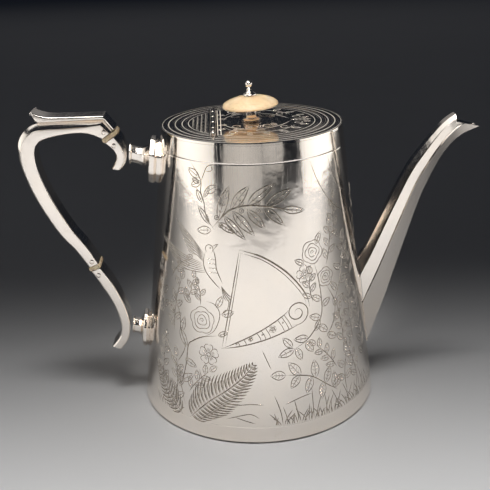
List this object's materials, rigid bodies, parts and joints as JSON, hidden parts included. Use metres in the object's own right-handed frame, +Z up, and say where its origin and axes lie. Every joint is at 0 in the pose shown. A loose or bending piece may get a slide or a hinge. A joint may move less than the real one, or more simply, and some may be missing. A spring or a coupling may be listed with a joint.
{
  "type": "coffee pot",
  "caption": "Tapering silver coffee pot with a flush hinged lid, a bone finial, a faceted swan-neck spout and a square handle held on bone insulators.",
  "frame": {"origin": "on the floor under the middle of the pot's length, a little to the spout's side of the handle-to-spout centre of the body", "axes": "+Z up, +X towards the spout, the handle towards -X"},
  "size_m": [0.2804, 0.1518, 0.2044],
  "materials": {
    "polished_silver": "polished silver plate with fine wear scratches and bright-cut engraving",
    "inner_silver": "unpolished silver plate, slightly browned",
    "insulator_bone": "golden tan bone, waxed",
    "finial_bone": "cream and tan bone with fine grain"
  },
  "bodies": {
    "pot": {"base_plate": "inner_silver", "body_shell": "polished_silver", "foot_ring": "inner_silver", "handle_grip": "polished_silver", "hinge_knuckle_back": "polished_silver", "hinge_knuckle_front": "polished_silver", "hinge_knuckle_middle": "polished_silver", "hinge_leaf_fixed": "inner_silver", "hinge_pin": "polished_silver", "lid_seat_ring": "inner_silver", "lower_handle_stub": "polished_silver", "lower_insulator": "insulator_bone", "lower_insulator_pin_above": "polished_silver", "lower_insulator_pin_below": "polished_silver", "lower_socket": "polished_silver", "pin_cap_back": "polished_silver", "pin_cap_front": "polished_silver", "spout_shell": "polished_silver", "thumb_plate": "polished_silver", "top_plate": "polished_silver", "upper_handle_stub": "polished_silver", "upper_insulator": "insulator_bone", "upper_insulator_pin_above": "polished_silver", "upper_insulator_pin_below": "polished_silver", "upper_socket": "polished_silver"},
    "lid": {"finial_cap": "polished_silver", "finial_disc": "finial_bone", "finial_nut": "inner_silver", "finial_pillar": "polished_silver", "finial_stud": "inner_silver", "finial_washer": "inner_silver", "hinge_leaf_lid": "inner_silver", "lid_bezel": "inner_silver", "lid_knuckle_back": "polished_silver", "lid_knuckle_front": "polished_silver", "lid_plate": "polished_silver"}
  },
  "joints": [
    {"name": "lid_hinge", "type": "hinge", "parent": "pot", "child": "lid", "pos_m": [-0.0223, 0, 0.18], "axis": [0, -1, 0], "range_deg": [0, 100]}
  ]
}
